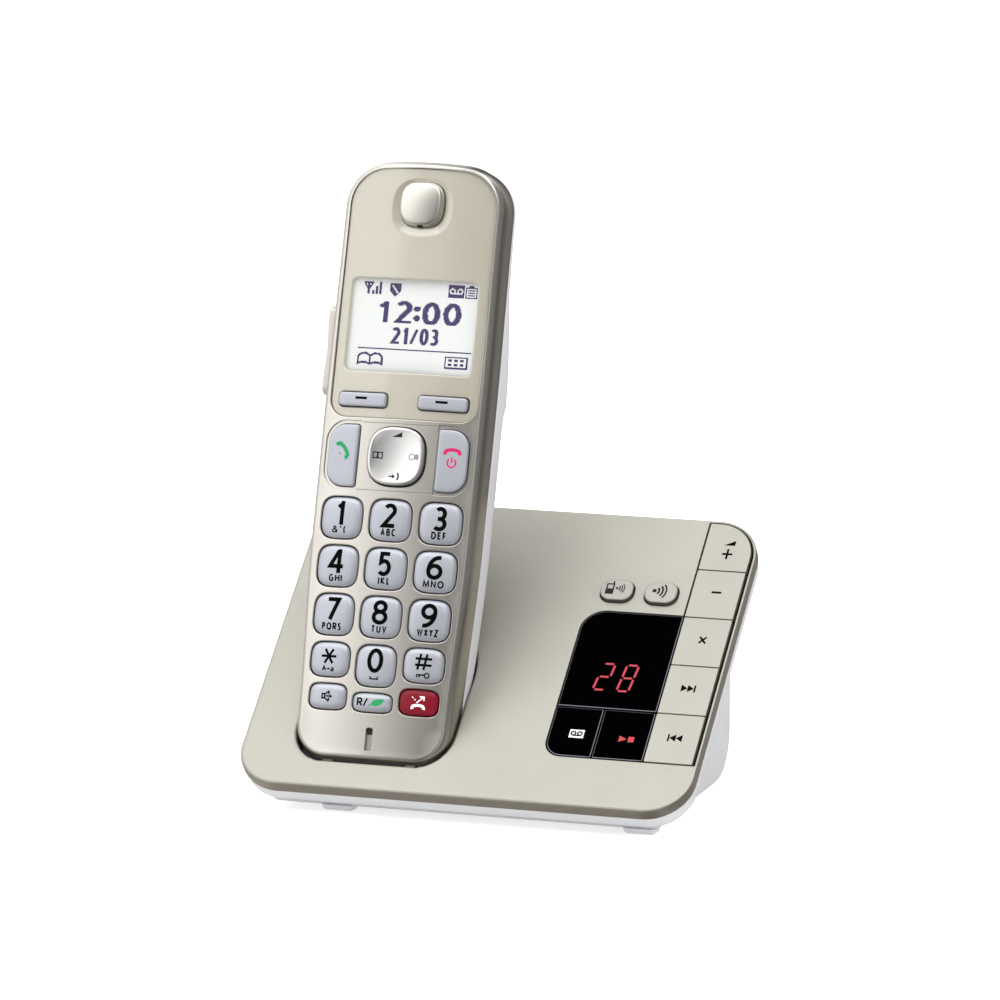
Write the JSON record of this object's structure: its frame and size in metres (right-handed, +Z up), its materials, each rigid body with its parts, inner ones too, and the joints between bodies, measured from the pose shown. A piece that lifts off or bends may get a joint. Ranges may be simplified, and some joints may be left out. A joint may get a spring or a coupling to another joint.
{
  "type": "cordless telephone with answering base",
  "caption": "Cordless telephone handset standing in the charging well of a wedge-shaped answering base with push keys and a display.",
  "frame": {"origin": "on the table, under the centre of the whole phone's box", "axes": "+Z up, -Y towards the user, +X to the user's right"},
  "size_m": [0.136, 0.086, 0.1811],
  "materials": {
    "champagne_paint": "satin metallic",
    "champagne_satin": "satin metallic with a fine grain",
    "champagne_gloss": "glossy",
    "champagne_key": "satin",
    "pale_plastic": "fine matt",
    "clear_lens": "clear",
    "lcd": "pale liquid-crystal display",
    "silver_plastic": "bright satin silver",
    "key_grey": "silky bluish grey",
    "key_red": "glossy dark red",
    "round_key_grey": "satin",
    "black_gloss": "glossy black",
    "led_red": "dark red",
    "dark_plastic": "matt",
    "foot_rubber": "matt",
    "contact_metal": "plated",
    "screw_steel": "zinc plated",
    "speaker_metal": "satin",
    "circuit_board": "solder resist",
    "battery_wrap": "printed film"
  },
  "bodies": {
    "base": {"top_cover": "champagne_satin", "bottom_case": "pale_plastic", "key_frame": "dark_plastic", "display_window": "black_gloss", "led_display": "led_red", "base_board": "circuit_board", "base_speaker": "speaker_metal", "rubber_feet": "foot_rubber", "power_jack": "dark_plastic", "line_jack": "dark_plastic", "base_screws": "screw_steel"},
    "handset": {"front_shell": "champagne_paint", "rear_shell": "pale_plastic", "face_panel": "champagne_gloss", "lcd_window": "clear_lens", "lcd_module": "lcd", "earpiece_cap": "silver_plastic", "earpiece_speaker": "speaker_metal", "microphone": "speaker_metal", "handset_board": "circuit_board", "keypad_mat": "key_grey", "handsfree_speaker": "speaker_metal", "battery_cells": "battery_wrap", "battery_contacts": "contact_metal", "handset_charge_pads": "contact_metal", "handset_screws": "screw_steel"},
    "battery_cover": {"battery_cover": "pale_plastic"},
    "side_volume_key": {"side_volume_key": "champagne_key"},
    "nav_pivot": {"nav_pivot": "dark_plastic"},
    "nav_key": {"nav_key": "silver_plastic"},
    "left_charge_contact": {"left_charge_contact": "contact_metal"},
    "right_charge_contact": {"right_charge_contact": "contact_metal"},
    "key_1": {"key_1": "key_grey"},
    "key_2": {"key_2": "key_grey"},
    "key_3": {"key_3": "key_grey"},
    "key_4": {"key_4": "key_grey"},
    "key_5": {"key_5": "key_grey"},
    "key_6": {"key_6": "key_grey"},
    "key_7": {"key_7": "key_grey"},
    "key_8": {"key_8": "key_grey"},
    "key_9": {"key_9": "key_grey"},
    "key_star": {"key_star": "key_grey"},
    "key_0": {"key_0": "key_grey"},
    "key_hash": {"key_hash": "key_grey"},
    "speaker_key": {"speaker_key": "key_grey"},
    "recall_key": {"recall_key": "key_grey"},
    "call_block_key": {"call_block_key": "key_red"},
    "soft_key_left": {"soft_key_left": "champagne_key"},
    "soft_key_right": {"soft_key_right": "champagne_key"},
    "talk_key": {"talk_key": "key_grey"},
    "off_key": {"off_key": "key_grey"},
    "volume_up_key": {"volume_up_key": "champagne_satin"},
    "volume_down_key": {"volume_down_key": "champagne_satin"},
    "erase_key": {"erase_key": "champagne_satin"},
    "next_key": {"next_key": "champagne_satin"},
    "previous_key": {"previous_key": "champagne_satin"},
    "message_key": {"message_key": "black_gloss"},
    "play_key": {"play_key": "black_gloss"},
    "locator_key": {"locator_key": "round_key_grey"},
    "intercom_key": {"intercom_key": "round_key_grey"}
  },
  "joints": [
    {"name": "handset_lift", "type": "slide", "parent": "base", "child": "handset", "axis": [0, 0.309, 0.9511], "range_m": [0, 0.12]},
    {"name": "key_1_press", "type": "slide", "parent": "handset", "child": "key_1", "axis": [0, 0.9511, -0.309], "range_m": [0, 0.0008], "stiffness_N_per_m": 600, "springref_m": -0.0005},
    {"name": "key_2_press", "type": "slide", "parent": "handset", "child": "key_2", "axis": [0, 0.9511, -0.309], "range_m": [0, 0.0008], "stiffness_N_per_m": 600, "springref_m": -0.0005},
    {"name": "key_3_press", "type": "slide", "parent": "handset", "child": "key_3", "axis": [0, 0.9511, -0.309], "range_m": [0, 0.0008], "stiffness_N_per_m": 600, "springref_m": -0.0005},
    {"name": "key_4_press", "type": "slide", "parent": "handset", "child": "key_4", "axis": [0, 0.9511, -0.309], "range_m": [0, 0.0008], "stiffness_N_per_m": 600, "springref_m": -0.0005},
    {"name": "key_5_press", "type": "slide", "parent": "handset", "child": "key_5", "axis": [0, 0.9511, -0.309], "range_m": [0, 0.0008], "stiffness_N_per_m": 600, "springref_m": -0.0005},
    {"name": "key_6_press", "type": "slide", "parent": "handset", "child": "key_6", "axis": [0, 0.9511, -0.309], "range_m": [0, 0.0008], "stiffness_N_per_m": 600, "springref_m": -0.0005},
    {"name": "key_7_press", "type": "slide", "parent": "handset", "child": "key_7", "axis": [0, 0.9511, -0.309], "range_m": [0, 0.0008], "stiffness_N_per_m": 600, "springref_m": -0.0005},
    {"name": "key_8_press", "type": "slide", "parent": "handset", "child": "key_8", "axis": [0, 0.9511, -0.309], "range_m": [0, 0.0008], "stiffness_N_per_m": 600, "springref_m": -0.0005},
    {"name": "key_9_press", "type": "slide", "parent": "handset", "child": "key_9", "axis": [0, 0.9511, -0.309], "range_m": [0, 0.0008], "stiffness_N_per_m": 600, "springref_m": -0.0005},
    {"name": "key_star_press", "type": "slide", "parent": "handset", "child": "key_star", "axis": [0, 0.9511, -0.309], "range_m": [0, 0.0008], "stiffness_N_per_m": 600, "springref_m": -0.0005},
    {"name": "key_0_press", "type": "slide", "parent": "handset", "child": "key_0", "axis": [0, 0.9511, -0.309], "range_m": [0, 0.0008], "stiffness_N_per_m": 600, "springref_m": -0.0005},
    {"name": "key_hash_press", "type": "slide", "parent": "handset", "child": "key_hash", "axis": [0, 0.9511, -0.309], "range_m": [0, 0.0008], "stiffness_N_per_m": 600, "springref_m": -0.0005},
    {"name": "speaker_key_press", "type": "slide", "parent": "handset", "child": "speaker_key", "axis": [0, 0.9511, -0.309], "range_m": [0, 0.0008], "stiffness_N_per_m": 600, "springref_m": -0.0005},
    {"name": "recall_key_press", "type": "slide", "parent": "handset", "child": "recall_key", "axis": [0, 0.9511, -0.309], "range_m": [0, 0.0008], "stiffness_N_per_m": 600, "springref_m": -0.0005},
    {"name": "call_block_key_press", "type": "slide", "parent": "handset", "child": "call_block_key", "axis": [0, 0.9511, -0.309], "range_m": [0, 0.0008], "stiffness_N_per_m": 600, "springref_m": -0.0005},
    {"name": "soft_key_left_press", "type": "slide", "parent": "handset", "child": "soft_key_left", "axis": [0, 0.9511, -0.309], "range_m": [0, 0.0008], "stiffness_N_per_m": 600, "springref_m": -0.0005},
    {"name": "soft_key_right_press", "type": "slide", "parent": "handset", "child": "soft_key_right", "axis": [0, 0.9511, -0.309], "range_m": [0, 0.0008], "stiffness_N_per_m": 600, "springref_m": -0.0005},
    {"name": "talk_key_press", "type": "slide", "parent": "handset", "child": "talk_key", "axis": [0, 0.9511, -0.309], "range_m": [0, 0.0008], "stiffness_N_per_m": 600, "springref_m": -0.0005},
    {"name": "off_key_press", "type": "slide", "parent": "handset", "child": "off_key", "axis": [0, 0.9511, -0.309], "range_m": [0, 0.0008], "stiffness_N_per_m": 600, "springref_m": -0.0005},
    {"name": "volume_up_key_press", "type": "slide", "parent": "base", "child": "volume_up_key", "axis": [0, 0.6428, -0.766], "range_m": [0, 0.0006], "stiffness_N_per_m": 600, "springref_m": -0.0005},
    {"name": "volume_down_key_press", "type": "slide", "parent": "base", "child": "volume_down_key", "axis": [0, 0.6428, -0.766], "range_m": [0, 0.0006], "stiffness_N_per_m": 600, "springref_m": -0.0005},
    {"name": "erase_key_press", "type": "slide", "parent": "base", "child": "erase_key", "axis": [0, 0.6428, -0.766], "range_m": [0, 0.0006], "stiffness_N_per_m": 600, "springref_m": -0.0005},
    {"name": "next_key_press", "type": "slide", "parent": "base", "child": "next_key", "axis": [0, 0.6428, -0.766], "range_m": [0, 0.0006], "stiffness_N_per_m": 600, "springref_m": -0.0005},
    {"name": "previous_key_press", "type": "slide", "parent": "base", "child": "previous_key", "axis": [0, 0.6428, -0.766], "range_m": [0, 0.0006], "stiffness_N_per_m": 600, "springref_m": -0.0005},
    {"name": "message_key_press", "type": "slide", "parent": "base", "child": "message_key", "axis": [0, 0.6428, -0.766], "range_m": [0, 0.0006], "stiffness_N_per_m": 600, "springref_m": -0.0005},
    {"name": "play_key_press", "type": "slide", "parent": "base", "child": "play_key", "axis": [0, 0.6428, -0.766], "range_m": [0, 0.0006], "stiffness_N_per_m": 600, "springref_m": -0.0005},
    {"name": "locator_key_press", "type": "slide", "parent": "base", "child": "locator_key", "axis": [0, 0.6428, -0.766], "range_m": [0, 0.0006], "stiffness_N_per_m": 600, "springref_m": -0.0005},
    {"name": "intercom_key_press", "type": "slide", "parent": "base", "child": "intercom_key", "axis": [0, 0.6428, -0.766], "range_m": [0, 0.0006], "stiffness_N_per_m": 600, "springref_m": -0.0005},
    {"name": "nav_tilt_up_down", "type": "hinge", "parent": "handset", "child": "nav_pivot", "pos_m": [-0.0291, -0.00341, 0.09783], "axis": [1, 0, 0], "range_deg": [-3, 3], "stiffness_Nm_per_rad": 0.02},
    {"name": "nav_tilt_left_right", "type": "hinge", "parent": "nav_pivot", "child": "nav_key", "pos_m": [-0.0291, -0.00464, 0.09823], "axis": [0, 0.309, 0.9511], "range_deg": [-3, 3], "stiffness_Nm_per_rad": 0.02},
    {"name": "side_volume_rock", "type": "hinge", "parent": "handset", "child": "side_volume_key", "pos_m": [-0.0531, 0.00932, 0.12598], "axis": [0, -0.9511, 0.309], "range_deg": [-2, 2], "stiffness_Nm_per_rad": 0.05},
    {"name": "battery_cover_slide", "type": "slide", "parent": "handset", "child": "battery_cover", "axis": [0, -0.309, -0.9511], "range_m": [0, 0.006]},
    {"name": "left_charge_contact_press", "type": "slide", "parent": "base", "child": "left_charge_contact", "axis": [0, -0.309, -0.9511], "range_m": [0, 0.001], "stiffness_N_per_m": 200, "springref_m": -0.0005},
    {"name": "right_charge_contact_press", "type": "slide", "parent": "base", "child": "right_charge_contact", "axis": [0, -0.309, -0.9511], "range_m": [0, 0.001], "stiffness_N_per_m": 200, "springref_m": -0.0005}
  ]
}
